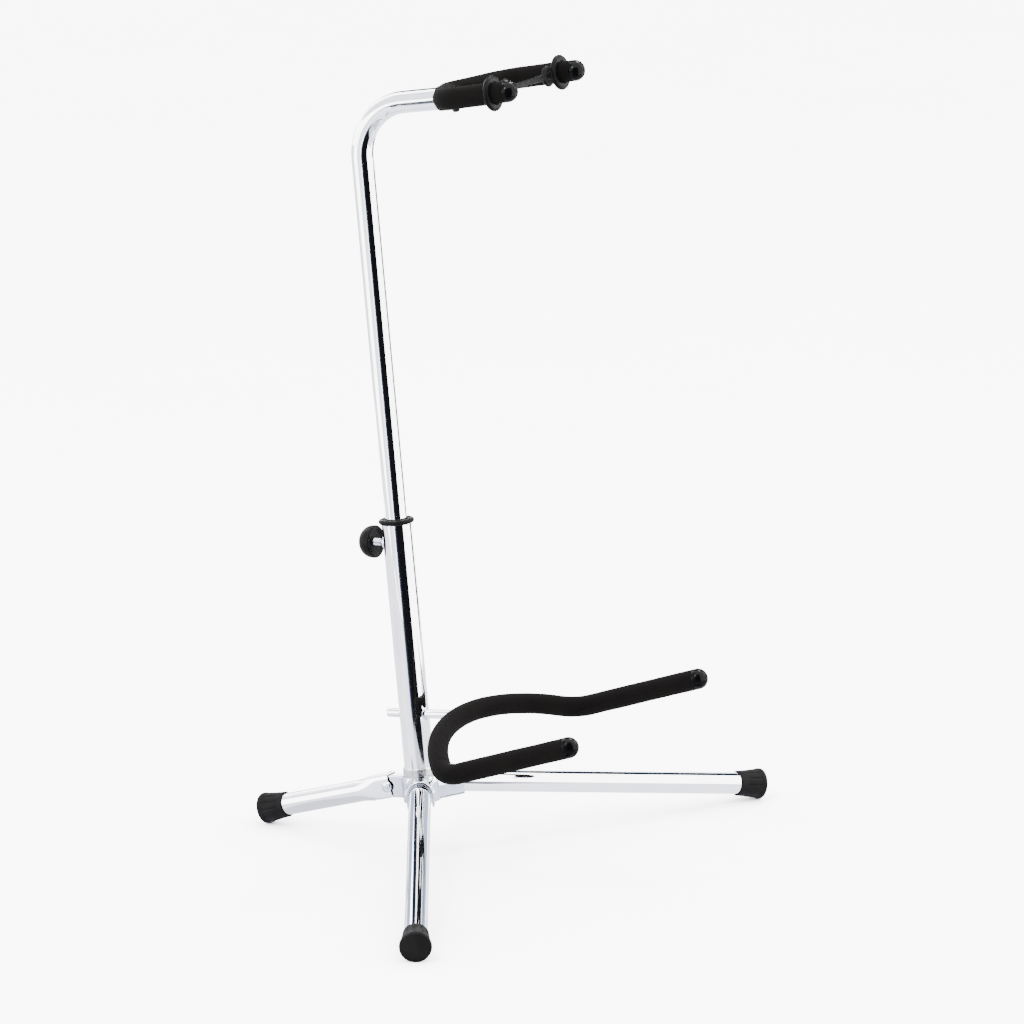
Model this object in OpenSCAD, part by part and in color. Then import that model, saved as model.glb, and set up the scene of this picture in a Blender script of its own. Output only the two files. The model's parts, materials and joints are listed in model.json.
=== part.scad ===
// Tripod guitar stand: a telescoping post on a folding three-leg base, with a padded cradle low
// on the post and a padded neck yoke on its bent top.
// +Z is up, the stand faces -Y, and the floor is Z = 0.

/* [Stance] */
// Backward lean of the post, in degrees
lean = 5.9; // [4:0.1:8]
// Height of the leg pivots' centre above the floor
pivot_h = 55; // [52:0.5:64]
// Distance of each leg pivot from the post's axis
pivot_r = 30; // [28:0.5:34]
// Drop of each leg below the plane of the pivots, in degrees
leg_drop = 11.1; // [9:0.1:14]
// Swivel of the bent mast in the post, in degrees
head_swivel = 3; // [-10:0.5:10]
// Roll of the cradle on its pin, in degrees
cradle_roll = 2.4; // [-5:0.1:5]

/* [Tubes] */
// Outside diameter of the lower post
post_d = 25.4; // [24:0.1:28]
// Outside diameter of the sliding mast
mast_d = 19; // [17:0.5:20]
// Outside diameter of the legs
leg_d = 19; // [17:0.5:20]
// Wall of the post
post_wall = 1.5; // [1.2:0.1:1.8]
// Wall of the mast and the legs
tube_wall = 1.2; // [1:0.1:1.5]
// Top of the post above the pivots
post_top = 229.5; // [200:0.5:260]
// Height above the pivots where the mast starts to bend
mast_top = 542; // [500:1:600]
// Length of mast inside the post
mast_insert = 120; // [100:5:125]
// Radius of the mast's bend
neck_bend = 47.5; // [40:0.5:60]
// Rise of the arm above square to the post, in degrees
arm_rise = 3.6; // [0:0.1:8]
// Reach of the arm in front of the post's axis
arm_reach = 97; // [92:1:98]

/* [Neck yoke] */
// Half the distance between the yoke's arms
yoke_half = 60; // [50:1:66]
// Reach of the yoke's root in front of the post
yoke_root = 87; // [80:1:88]
// Forward sweep of the yoke's back, in degrees
yoke_sweep = 25; // [15:1:35]
// Rise of the yoke above square to the post, in degrees
yoke_rise = 5.2; // [0:0.1:8]
// Reach of the strap's discs in front of the post
strap_reach = 163; // [158:1:170]
// Diameter of the yoke's foam
yoke_foam_d = 18.5; // [16:0.5:20]

/* [Cradle] */
// Height of the cradle pin above the leg pivots
pin_h = 64; // [60:0.5:80]
// Diameter of the cradle pin
pin_d = 8; // [7:0.5:9]
// Length of pin behind the post's axis
pin_back = 26; // [20:1:30]
// Distance of the bow's middle in front of the post's axis
bow_reach = 49; // [45:0.5:60]
// Radius of the cradle's bow
bow_radius = 142; // [130:1:160]
// Half angle of the bow, in degrees
bow_half = 44; // [40:0.5:48]
// Dip of the bow below square to the post, in degrees
bow_dip = 25.9; // [20:0.1:30]
// Rise of the cradle's arms above square to the post, in degrees
cradle_rise = 13.5; // [8:0.1:18]
// Radius of the bend between the bow and each arm
corner_bend = 27.4; // [22:0.2:34]
// Straight length of each cradle arm
cradle_arm = 115; // [90:1:130]
// Diameter of the cradle's foam
cradle_foam_d = 18; // [16:0.5:20]

/* [Feet and knob] */
// Largest diameter of the rubber feet
foot_d = 27; // [25:0.5:30]
// Length of the rubber feet
foot_len = 26; // [24:1:36]
// Height of the clamp screw above the leg pivots
clamp_h = 213; // [205:1:218]
// Diameter of the clamp knob
knob_d = 28; // [24:1:32]

/* [Hidden] */
$fn = 64;
fit = 0.05;             // running clearance of pins and slides
gap = 0.3;              // clearance between parts that only pass each other
swell = 0.03;           // extra radius of a bend over its bars
lap = 1;                // length by which a bar enters a bend
y_shift = 27.48;        // puts the middle of the whole stand over the origin
foot_press = 0.4;       // flat pressed on each foot by the floor
foot_rim = 2;           // distance of the widest ring from the foot's end
side_angles = [-30, 210];
rear_angle = 90;

post_r = post_d / 2;
bore_r = post_r - post_wall;
mast_r = mast_d / 2;
leg_r = leg_d / 2;
mast_low = post_top - mast_insert;
bush_r = bore_r - fit;

collar_z = 10.3;
collar_h = 7.5;
collar_r = post_r + 1.4;

channel_wall = 1.9;
channel_reach = 36;
channel_floor = -11.5;
hub_floor = -12.5;
hub_r = 16;
leg_slot = leg_r + gap;
tongue_half = 6;
tongue_r = 9.7;
rivet_r = 3;
rivet_head_r = 5;
cheek = 1.5;
clevis_in = 3;
clevis_len = 31;
clevis_half_h = 11.4;

rod_r = 4;
yoke_rod_r = 5;
yoke_bend = 25;
yoke_lift = 4;
yoke_foam_r = yoke_foam_d / 2;
cradle_foam_r = cradle_foam_d / 2;
socket_wall = 1.1;
socket_from = 79;
nub_at = 93;
disc_r = 15;
disc_t = 4.8;
eyelet_r = 9;
eyelet_in = 23;
band_h = 6.5;
band_t = 3;
tip_foam = 10;
cap_skirt = 1.5;

ring_r = 13.3;
ring_bead = 2.1;
bush_len = 12;

screw_r = 3;
pad_r = 2.9;
boss_r = 5;
boss_flare = 6.4;
boss_out = 15.2;
knob_face = 22;
knob_rim = 3;
knob_dome = 12;

// ---------- frames ----------

// Origin at the middle of the leg pivots, Z up the post, -Y to the front.
module post_frame() {
    translate([0, y_shift, pivot_h]) rotate([-lean, 0, 0]) children();
}

// Origin at a leg's pivot, X out along the leg, Y along the rivet.
module hub_arm_frame(angle) {
    post_frame() rotate([0, 0, angle]) translate([pivot_r, 0, 0]) children();
}

module leg_frame(angle) {
    hub_arm_frame(angle) rotate([0, leg_drop, 0]) children();
}

// The mast's frame, turned with it.
module head_frame() {
    post_frame() rotate([0, 0, head_swivel]) children();
}

// Origin at the yoke's root, X to the side, Y forward, Z up square to the yoke.
module yoke_frame() {
    head_frame() translate([0, -yoke_root, yoke_z]) rotate([0, 0, 180]) rotate([yoke_rise, 0, 0]) children();
}

// Origin at the bow's middle on the pin's axis.
module cradle_frame() {
    post_frame() translate([0, -bow_reach, pin_h]) rotate(a = cradle_roll, v = [0, -1, 0]) children();
}

module side(s) {
    if (s > 0) children();
    else mirror([1, 0, 0]) children();
}

// ---------- derived lengths ----------

arm_start_y = neck_bend * (1 - sin(arm_rise));
arm_start_z = mast_top + neck_bend * cos(arm_rise);
arm_len = (arm_reach - arm_start_y) / cos(arm_rise);
arm_fwd = [0, -cos(arm_rise), sin(arm_rise)];
yoke_z = arm_start_z + (yoke_root - arm_start_y) * tan(arm_rise) + yoke_lift;

function pivot_z(angle) = pivot_h - pivot_r * sin(angle) * sin(lean);
function leg_fall(angle) = sin(angle) * cos(leg_drop) * sin(lean) + sin(leg_drop) * cos(lean);
function leg_len(angle) = foot_rim + (pivot_z(angle) + foot_press
    - foot_d / 2 * sqrt(1 - pow(leg_fall(angle), 2))) / leg_fall(angle);

// ---------- sweeps ----------

// A straight round bar from p along the unit vector t.
module bar(p, t, len, r) {
    translate(p) rotate([0, acos(t.z), atan2(t.y, t.x)]) cylinder(r = r, h = len);
}

// A bent bar from p, heading t and turning towards n. It is a hair fatter than the bars that run
// into it, so the two overlap cleanly.
module bend(p, t, n, radius, angle, r) {
    c = p + radius * n;
    b = cross(-n, t);
    multmatrix([[-n.x, t.x, b.x, c.x], [-n.y, t.y, b.y, c.y], [-n.z, t.z, b.z, c.z], [0, 0, 0, 1]])
        rotate_extrude(angle = angle) translate([radius, 0]) circle(r + swell);
}

function bend_end(p, t, n, radius, angle) =
    p + radius * sin(angle) * t + radius * (1 - cos(angle)) * n;

// ---------- post and base ----------

module post_tube() {
    color("silver") post_frame() difference() {
        translate([0, 0, -10]) cylinder(r = post_r, h = post_top + 10);
        translate([0, 0, -11]) cylinder(r = bore_r, h = post_top + 12);
        translate([0, 0, pin_h]) rotate([90, 0, 0]) cylinder(r = pin_d / 2 + fit, h = 60, center = true);
        translate([0, 0, clamp_h]) rotate([-90, 0, 0]) cylinder(r = screw_r + 1, h = 30);
    }
}

// Section of a channel: an arch over a square bottom.
module arch(r, depth) {
    circle(r);
    translate([-depth, -r]) square([depth, 2 * r]);
}

// Lays an extrusion along X, with the section's X turned upright.
module along_x(from, len) {
    translate([from, 0, 0]) rotate([0, 90, 0]) mirror([1, 0, 0]) linear_extrude(len) children();
}

// One inverted channel of the hub, open below and at its outer end.
module hub_channel() {
    difference() {
        along_x(10 - pivot_r, channel_reach - 10) arch(leg_slot + channel_wall, -channel_floor);
        rotate([0, leg_drop, 0]) along_x(-leg_slot - 0.4, 40) arch(leg_slot, 40);
        translate([channel_reach - pivot_r, -30, -4]) rotate([0, 45, 0]) cube([60, 60, 60]);
        rotate([90, 0, 0]) cylinder(r = rivet_r + 0.02, h = 60, center = true);
    }
}

// The rear arm of the hub, a tongue inside the rear leg's clevis.
module hub_tongue() {
    difference() {
        translate([0, tongue_half, 0]) rotate([90, 0, 0]) linear_extrude(2 * tongue_half) union() {
            circle(tongue_r);
            translate([12 - pivot_r, -tongue_r]) square([pivot_r - 12, 2 * tongue_r]);
        }
        rotate([90, 0, 0]) cylinder(r = rivet_r + 0.02, h = 60, center = true);
    }
}

module hub_bracket() {
    color("gainsboro") difference() {
        union() {
            post_frame() translate([0, 0, hub_floor]) cylinder(r = hub_r, h = collar_z - hub_floor);
            for (a = side_angles) hub_arm_frame(a) hub_channel();
            hub_arm_frame(rear_angle) hub_tongue();
        }
        post_frame() translate([0, 0, -40]) cylinder(r = post_r, h = 80);
        post_frame() translate([0, 0, collar_z]) cylinder(r = collar_r, h = 10);
    }
}

module base_collar() {
    color("silver") post_frame() translate([0, 0, collar_z]) difference() {
        cylinder(r = collar_r, h = collar_h);
        translate([0, 0, -1]) cylinder(r = post_r, h = collar_h + 2);
    }
}

module rim_ring() {
    color("dimgray") post_frame() translate([0, 0, post_top]) difference() {
        union() {
            cylinder(r = ring_r, h = 2 * ring_bead);
            translate([0, 0, ring_bead]) rotate_extrude() translate([ring_r, 0]) circle(ring_bead);
        }
        translate([0, 0, -1]) cylinder(r = mast_r + gap, h = 2 * ring_bead + 2);
    }
}

module guide_bush() {
    color("white") post_frame() translate([0, 0, post_top - bush_len]) difference() {
        cylinder(r = bore_r, h = bush_len);
        translate([0, 0, -1]) cylinder(r = mast_r + fit, h = bush_len + 2);
    }
}

module post_plug() {
    color("black") post_frame() union() {
        translate([0, 0, -12]) cylinder(r = post_r, h = 2);
        translate([0, 0, -10]) cylinder(r = bore_r, h = 10);
    }
}

module clamp_boss() {
    color("silver") post_frame() translate([0, 0, clamp_h]) difference() {
        rotate([-90, 0, 0]) union() {
            cylinder(r = boss_r, h = boss_out);
            translate([0, 0, 10]) cylinder(r = boss_flare, h = 3.6);
        }
        translate([0, 0, -20]) cylinder(r = post_r, h = 40);
        rotate([-90, 0, 0]) cylinder(r = screw_r + fit, h = 40);
    }
}

// Half length and place of each rivet follow the walls it holds.
module rivet(angle, half) {
    color("silver") hub_arm_frame(angle) rotate([90, 0, 0]) union() {
        cylinder(r = rivet_r, h = 2 * half, center = true);
        for (m = [0, 1]) mirror([0, 0, m]) translate([0, 0, half]) intersection() {
            cylinder(r = rivet_head_r, h = 2);
            translate([0, 0, -5.4]) sphere(r = 7.4);
        }
    }
}

// ---------- legs ----------

// Half section of a tube with a domed end at its start.
module domed_tube_section(r, len) {
    square([r, len]);
    intersection() {
        circle(r);
        translate([0, -r]) square([r, r]);
    }
}

module leg_front(angle) {
    len = leg_len(angle) - 4;
    color("silver") leg_frame(angle) difference() {
        rotate([0, 90, 0]) rotate_extrude() difference() {
            domed_tube_section(leg_r, len);
            domed_tube_section(leg_r - tube_wall, len + 1);
        }
        rotate([90, 0, 0]) cylinder(r = rivet_r + fit, h = 60, center = true);
    }
}

module leg_back() {
    len = leg_len(rear_angle) - 4;
    half = tongue_half + gap + cheek;
    color("silver") leg_frame(rear_angle) difference() {
        union() {
            translate([clevis_len - 8, 0, 0]) rotate([0, 90, 0]) cylinder(r = leg_r, h = len - clevis_len + 8);
            translate([0, half, 0]) rotate([90, 0, 0]) linear_extrude(2 * half)
                polygon([[-clevis_in, -clevis_half_h], [-clevis_in, clevis_half_h], [2, clevis_half_h],
                    [clevis_len - 4, leg_r - 1], [clevis_len - 4, 1 - leg_r], [2, -clevis_half_h]]);
        }
        translate([-clevis_in - 1, -tongue_half - gap, -20])
            cube([20, 2 * (tongue_half + gap), 20 + tongue_r + gap]);
        translate([clevis_len - 6, 0, 0]) rotate([0, 90, 0]) cylinder(r = leg_r - tube_wall, h = len);
        rotate([90, 0, 0]) cylinder(r = rivet_r + fit, h = 60, center = true);
    }
}

module foot(angle) {
    len = leg_len(angle);
    r = foot_d / 2;
    color("dimgray") difference() {
        leg_frame(angle) translate([len - foot_len, 0, 0]) rotate([0, 90, 0]) difference() {
            rotate_extrude() polygon([[0, 0], [10.7, 0], [11.2, 1], [11.6, foot_len / 4], [12.7, foot_len * 0.6],
                [r, foot_len - 5], [r, foot_len - foot_rim], [r - 1.2, foot_len], [0, foot_len]]);
            translate([0, 0, -1]) cylinder(r = leg_r, h = foot_len - 3);
        }
        translate([-500, -500, -50]) cube([1000, 1000, 50]);
    }
}

// ---------- mast and yoke ----------

module slide_bush() {
    color("white") post_frame() translate([0, 0, mast_low]) difference() {
        cylinder(r = bush_r, h = 18);
        translate([0, 0, 3]) cylinder(r = mast_r + fit, h = 20);
        translate([0, 0, -1]) cylinder(r = mast_r - 3, h = 10);
    }
}

// The mast's path, from the slide bush up the post, round the bend and out along the arm.
module mast_path(r, low, out) {
    head_frame() {
        bar([0, 0, mast_low + low], [0, 0, 1], mast_top - mast_low - low + lap, r);
        bend([0, 0, mast_top], [0, 0, 1], [0, -1, 0], neck_bend, 90 - arm_rise, r);
        bar([0, -arm_start_y, arm_start_z] - lap * arm_fwd, arm_fwd, arm_len + lap + out, r);
    }
}

module mast_tube() {
    color("silver") difference() {
        mast_path(mast_r, 3, 0);
        mast_path(mast_r - tube_wall, 2, 1);
        yoke_frame() yoke_path(yoke_rod_r + 0.1, strap_y);
    }
}

// Solid of the arm's outside, from d before the yoke's root.
module arm_core(r, from, out) {
    head_frame() bar([0, -from, arm_start_z + (from - arm_start_y) * tan(arm_rise)],
        arm_fwd, (arm_reach - from) / cos(arm_rise) + out, r);
}

yoke_turn = 90 - yoke_sweep;
yoke_dir = [cos(yoke_sweep), sin(yoke_sweep), 0];
yoke_back_len = yoke_half / cos(yoke_sweep) - yoke_bend * tan(yoke_turn / 2);
yoke_front_y = yoke_half * tan(yoke_sweep) + yoke_bend * tan(yoke_turn / 2);
strap_y = (strap_reach - yoke_root) / cos(yoke_rise);
tip_y = strap_y + disc_t / 2 + tip_foam;

// The yoke's whole path, with its arms ending at front.
module yoke_path(r, front) {
    sphere(r = r + swell);
    for (s = [1, -1]) side(s) {
        bar([0, 0, 0], yoke_dir, yoke_back_len + lap, r);
        bend(yoke_back_len * yoke_dir, yoke_dir, [-sin(yoke_sweep), cos(yoke_sweep), 0],
            yoke_bend, yoke_turn, r);
        bar([yoke_half, yoke_front_y - lap, 0], [0, 1, 0], front - yoke_front_y + lap, r);
    }
}

module neck_yoke() {
    color("silver") yoke_frame() yoke_path(yoke_rod_r, tip_y + 2);
}

// Soft socket over the arm's end, under the yoke's root.
module yoke_socket() {
    color("black") difference() {
        arm_core(mast_r + socket_wall, socket_from, socket_wall);
        arm_core(mast_r, socket_from - 7, 0);
        yoke_frame() yoke_path(yoke_foam_r, strap_y);
    }
}

module yoke_screw() {
    color("black") head_frame() translate([0, -nub_at, arm_start_z + (nub_at - arm_start_y) * tan(arm_rise)])
        rotate([180 - arm_rise, 0, 0]) translate([0, 0, mast_r + socket_wall]) intersection() {
            cylinder(r = 3.2, h = 2.2);
            translate([0, 0, -2]) sphere(r = 4.2);
        }
}

module yoke_foam() {
    color("black") difference() {
        yoke_frame() yoke_path(yoke_foam_r, strap_y - disc_t / 2 - gap);
        yoke_frame() yoke_path(yoke_rod_r + 0.1, strap_y + 10);
        arm_core(mast_r, 60, 0);
    }
}

module yoke_tip_foam(s) {
    color("black") yoke_frame() side(s) translate([yoke_half, strap_y - disc_t / 2 - gap, 0])
        rotate([-90, 0, 0]) difference() {
            cylinder(r = yoke_foam_r - gap, h = tip_foam + disc_t + gap);
            translate([0, 0, -1]) cylinder(r = yoke_rod_r + 0.1, h = 40);
        }
}

// Domed cap on a rod's end.
module cap(r, ri, depth) {
    difference() {
        union() {
            cylinder(r = r, h = cap_skirt);
            translate([0, 0, cap_skirt]) difference() {
                sphere(r = r);
                translate([0, 0, -2 * r]) cube(4 * r, center = true);
            }
        }
        translate([0, 0, -1]) cylinder(r = ri, h = depth + 1);
    }
}

module yoke_cap(s) {
    color("black") yoke_frame() side(s) translate([yoke_half, tip_y, 0]) rotate([-90, 0, 0])
        cap(yoke_foam_r - gap, yoke_rod_r, 2);
}

module neck_strap() {
    color("black") yoke_frame() translate([0, strap_y + disc_t / 2, 0]) rotate([90, 0, 0]) difference() {
        union() {
            for (s = [-1, 1]) {
                translate([s * yoke_half, 0, 0]) cylinder(r = disc_r, h = disc_t);
                translate([s * (yoke_half - eyelet_in), 0, 0.5]) cylinder(r = eyelet_r, h = disc_t - 1);
            }
            translate([-yoke_half + eyelet_in, -band_h / 2, 1])
                cube([2 * (yoke_half - eyelet_in), band_h, band_t]);
        }
        for (s = [-1, 1]) {
            translate([s * yoke_half, 0, -1]) cylinder(r = yoke_foam_r + 0.05, h = disc_t + 2);
            translate([s * (yoke_half - eyelet_in), 0, -1]) cylinder(r = 3.5, h = disc_t + 2);
        }
    }
}

// ---------- clamp ----------

module clamp_pad() {
    color("ivory") post_frame() translate([0, mast_r + 0.05, clamp_h]) rotate([-90, 0, 0])
        cylinder(r = pad_r, h = 2.5);
}

module clamp_screw() {
    color("silver") post_frame() translate([0, mast_r + 2.65, clamp_h]) rotate([-90, 0, 0])
        cylinder(r = screw_r, h = knob_face - mast_r - 2.65 + 4);
}

module clamp_knob() {
    color("black") post_frame() translate([0, knob_face, clamp_h]) rotate([-90, 0, 0]) difference() {
        union() {
            cylinder(r = knob_d / 2, h = knob_rim);
            translate([0, 0, knob_rim]) rotate_extrude()
                polygon(concat([[0, 0]], [for (a = [0:7.5:90]) [knob_d / 2 * cos(a), knob_dome * sin(a)]]));
        }
        translate([0, 0, -1]) cylinder(r = screw_r, h = 5);
    }
}

// ---------- cradle ----------

bow_fwd = [0, -cos(bow_dip), -sin(bow_dip)];
arm_dir = [0, -cos(cradle_rise), sin(cradle_rise)];
function bow_at(a) = [bow_radius * sin(a), 0, 0] + bow_radius * (1 - cos(a)) * bow_fwd;
function bow_heading(a) = [cos(a), 0, 0] + sin(a) * bow_fwd;
function bow_inward(a) = [-sin(a), 0, 0] + cos(a) * bow_fwd;
bow_end = bow_at(bow_half);
bow_dir = bow_heading(bow_half);
corner_angle = acos(bow_dir * arm_dir);
corner_in = (arm_dir - (bow_dir * arm_dir) * bow_dir) / sin(corner_angle);
corner_end = bend_end(bow_end, bow_dir, corner_in, corner_bend, corner_angle);

// The cradle's whole path, tip to tip.
module cradle_path(r, len) {
    over = lap / bow_radius * 180 / PI;
    bend(bow_at(-bow_half - over), bow_heading(-bow_half - over), bow_inward(-bow_half - over),
        bow_radius, 2 * (bow_half + over), r - swell);
    for (s = [1, -1]) side(s) {
        bend(bow_end, bow_dir, corner_in, corner_bend, corner_angle, r);
        bar(corner_end - lap * arm_dir, arm_dir, len + lap, r);
    }
}

module cradle_pin() {
    len = bow_reach + pin_back - rod_r - fit;
    color("silver") post_frame() translate([0, pin_back, pin_h]) rotate([90, 0, 0]) cylinder(r = pin_d / 2, h = len);
}

module cradle_bow() {
    color("silver") cradle_frame() cradle_path(rod_r, cradle_arm);
}

module cradle_foam() {
    color("black") cradle_frame() difference() {
        cradle_path(cradle_foam_r, cradle_arm - 4);
        cradle_path(rod_r + 0.1, cradle_arm + 1);
        translate([0, 30, 0]) rotate([90, 0, 0]) cylinder(r = pin_d / 2, h = 30);
    }
}

module cradle_cap(s) {
    color("black") cradle_frame() side(s) translate(corner_end + (cradle_arm - 4) * arm_dir)
        rotate([0, acos(arm_dir.z), atan2(arm_dir.y, arm_dir.x)]) cap(cradle_foam_r, rod_r, 4);
}

post_tube();
hub_bracket();
base_collar();
rim_ring();
guide_bush();
clamp_boss();
post_plug();
rivet(210, leg_slot + channel_wall);  // rivet_left
rivet(-30, leg_slot + channel_wall);  // rivet_right
rivet(rear_angle, tongue_half + cheek + 2 * gap);  // rivet_rear
leg_front(210);  // leg_left
leg_front(-30);  // leg_right
leg_back();  // leg_rear
foot(210);  // foot_left
foot(-30);  // foot_right
foot(rear_angle);  // foot_rear
slide_bush();
mast_tube();
neck_yoke();
yoke_socket();
yoke_screw();
yoke_foam();
yoke_tip_foam(1);  // yoke_tip_foam_left
yoke_tip_foam(-1);  // yoke_tip_foam_right
yoke_cap(1);  // yoke_cap_left
yoke_cap(-1);  // yoke_cap_right
neck_strap();
clamp_pad();
clamp_screw();
clamp_knob();
cradle_pin();
cradle_bow();
cradle_foam();
cradle_cap(-1);  // cradle_cap_left
cradle_cap(1);  // cradle_cap_right
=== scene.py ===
import json
import math

import bmesh
import bpy
import numpy as np
from mathutils import Matrix, Vector, noise


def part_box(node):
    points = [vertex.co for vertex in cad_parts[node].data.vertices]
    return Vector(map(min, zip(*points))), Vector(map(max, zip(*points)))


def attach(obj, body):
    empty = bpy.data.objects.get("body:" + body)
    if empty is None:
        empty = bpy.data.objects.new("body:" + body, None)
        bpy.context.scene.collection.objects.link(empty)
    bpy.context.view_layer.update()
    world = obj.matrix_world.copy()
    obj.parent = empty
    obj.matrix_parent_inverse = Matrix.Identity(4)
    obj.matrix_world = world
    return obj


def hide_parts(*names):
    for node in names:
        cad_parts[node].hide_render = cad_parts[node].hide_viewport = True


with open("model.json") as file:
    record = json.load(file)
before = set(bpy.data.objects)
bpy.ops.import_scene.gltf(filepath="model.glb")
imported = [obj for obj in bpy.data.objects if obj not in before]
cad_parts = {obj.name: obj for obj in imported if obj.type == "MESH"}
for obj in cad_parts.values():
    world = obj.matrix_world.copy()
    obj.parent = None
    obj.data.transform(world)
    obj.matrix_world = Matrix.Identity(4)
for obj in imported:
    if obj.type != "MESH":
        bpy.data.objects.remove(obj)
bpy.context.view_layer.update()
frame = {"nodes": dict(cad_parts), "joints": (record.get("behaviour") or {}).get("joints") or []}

# Lengths are in millimetres, and become metres where a mesh is made.
MM = 0.001
X, Y, Z = Vector((1, 0, 0)), Vector((0, 1, 0)), Vector((0, 0, 1))

# ---------- sizes, as the frame was built ----------

POST_R, BORE_R = 12.7, 11.2
MAST_R, LEG_R = 9.5, 9.5
POST_LOW, POST_TOP = -10, 229.5
MAST_LOW, MAST_TOP = 112.5, 542
NECK_BEND, ARM_RISE, ARM_REACH = 47.5, 3.6, 97
LEG_DROP = 11.1
PIN_R, PIN_H, PIN_BACK = 4, 64, 26
CLAMP_H = 213

YOKE_HALF, YOKE_ROOT, YOKE_SWEEP, YOKE_BEND = 60, 87, 25, 25
YOKE_FOAM_R, TIP_FOAM_R = 9.25, 8.95
DISC_R, DISC_T = 15, 4.8
EYELET_R, EYELET_HOLE_R, EYELET_IN = 9, 3.5, 23
TIP_FOAM = 10
SOCKET_FROM, NUB_AT = 79, 93
SLEEVE_GAP = 0.3          # between a foam sleeve and the strap's disc

BOW_REACH, BOW_RADIUS, BOW_HALF, BOW_DIP = 49, 142, 44, 25.9
CRADLE_RISE, CORNER_BEND, CRADLE_ARM, CRADLE_ROLL = 13.5, 27.4, 115, 2.4
CRADLE_FOAM_R, ROD_R = 9, 4
CRADLE_SLEEVE = CRADLE_ARM - 4          # the straight run of foam on each arm, up to its cap

FOOT_R, FOOT_LEN, FOOT_FLOOR = 13.5, 26, 4
COLLAR_Z, COLLAR_H, COLLAR_R = 10.3, 7.5, 14.1
HUB_R, HUB_FLOOR = 16, -12.5
CHANNEL_R, CHANNEL_REACH, CHANNEL_FLOOR, LEG_SLOT = 11.7, 36, -11.5, 9.8
TONGUE_HALF, TONGUE_R = 6, 9.7
CLEVIS_IN, CLEVIS_LEN, CLEVIS_HALF_H, CLEVIS_HALF_W = 3, 31, 11.4, 7.8
RIVET_R, RIVET_HEAD_R, RIVET_HEAD = 3, 4.9, 1.9
SCREW_R, SCREW_PITCH, SCREW_FROM, SCREW_IN_KNOB = 3, 1, 2.65, 2
KNOB_R, KNOB_FACE, KNOB_RIM, KNOB_DOME = 14, 22, 3, 12

# ---------- frames, from the joints ----------

joints = {j["name"]: j for j in frame["joints"]}


def turn(axis, degrees):
    return Matrix.Rotation(math.radians(degrees), 4, axis)


def move(x, y, z):
    return Matrix.Translation((x, y, z))


def pivot(joint):
    return Vector(joints[joint]["pos_m"]) / MM


def axes(origin, x, y, z):
    """Matrix of a frame with that origin and those unit axes."""
    m = Matrix((x, y, z)).transposed().to_4x4()
    m.translation = origin
    return m


pivots = [pivot(f"{side}_leg_fold") for side in ("left", "right", "rear")]
hub_centre = sum(pivots, Vector()) / 3
PIVOT_R = (pivots[0] - hub_centre).length
post_up = Vector(joints["mast_height"]["axis"]).normalized()
POST = axes(hub_centre, X, post_up.cross(X), post_up)
LEG_ANGLES = {"left": 210, "right": -30, "rear": 90}
HUB_ARM = {s: POST @ turn("Z", a) @ move(PIVOT_R, 0, 0) for s, a in LEG_ANGLES.items()}
LEG = {s: m @ turn("Y", LEG_DROP) for s, m in HUB_ARM.items()}

strap_out = Vector(joints["strap_off"]["axis"]).normalized()
head_side = strap_out.cross(post_up).normalized()
HEAD = axes(hub_centre, -head_side, post_up.cross(-head_side), post_up)
arm_start_y = NECK_BEND * (1 - math.sin(math.radians(ARM_RISE)))
arm_start_z = MAST_TOP + NECK_BEND * math.cos(math.radians(ARM_RISE))
arm_slope = math.tan(math.radians(ARM_RISE))
arm_len = (ARM_REACH - arm_start_y) / math.cos(math.radians(ARM_RISE))
YOKE_LIFT = 4
yoke_z = arm_start_z + (YOKE_ROOT - arm_start_y) * arm_slope + YOKE_LIFT
YOKE = axes(HEAD @ Vector((0, -YOKE_ROOT, yoke_z)), head_side, strap_out, head_side.cross(strap_out))
strap_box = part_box("neck_strap")
strap_y = (YOKE.inverted() @ ((strap_box[0] + strap_box[1]) / 2 / MM)).y
tip_y = strap_y + DISC_T / 2 + TIP_FOAM

CRADLE = POST @ move(0, -BOW_REACH, PIN_H) @ Matrix.Rotation(math.radians(CRADLE_ROLL), 4, -Y)


# ---------- mesh tools ----------

def make(name, verts, faces, sharp=40):
    """A smooth-shaded object from points in millimetres in the row frame."""
    mesh = bpy.data.meshes.new(name)
    mesh.from_pydata([tuple(Vector(v) * MM) for v in verts], [], faces)
    bm = bmesh.new()
    bm.from_mesh(mesh)
    bmesh.ops.remove_doubles(bm, verts=bm.verts, dist=1e-7)
    bmesh.ops.recalc_face_normals(bm, faces=bm.faces)
    bm.to_mesh(mesh)
    bm.free()
    obj = bpy.data.objects.new(name, mesh)
    bpy.context.scene.collection.objects.link(obj)
    smooth(obj, sharp)
    return obj


def smooth(obj, sharp):
    obj.data.shade_smooth()
    obj.data.set_sharp_from_angle(angle=math.radians(sharp))


def grid_faces(rows, cols, closed_rows=False):
    """Quads of a grid whose columns close on themselves."""
    faces = []
    for i in range(rows if closed_rows else rows - 1):
        a, b = i * cols, (i + 1) % rows * cols
        faces += [(a + j, a + (j + 1) % cols, b + (j + 1) % cols, b + j) for j in range(cols)]
    return faces


def end_faces(rows, cols):
    """The polygons that close a grid's first and last rows."""
    last = (rows - 1) * cols
    return [tuple(range(cols))[::-1], tuple(range(last, last + cols))]


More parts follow.
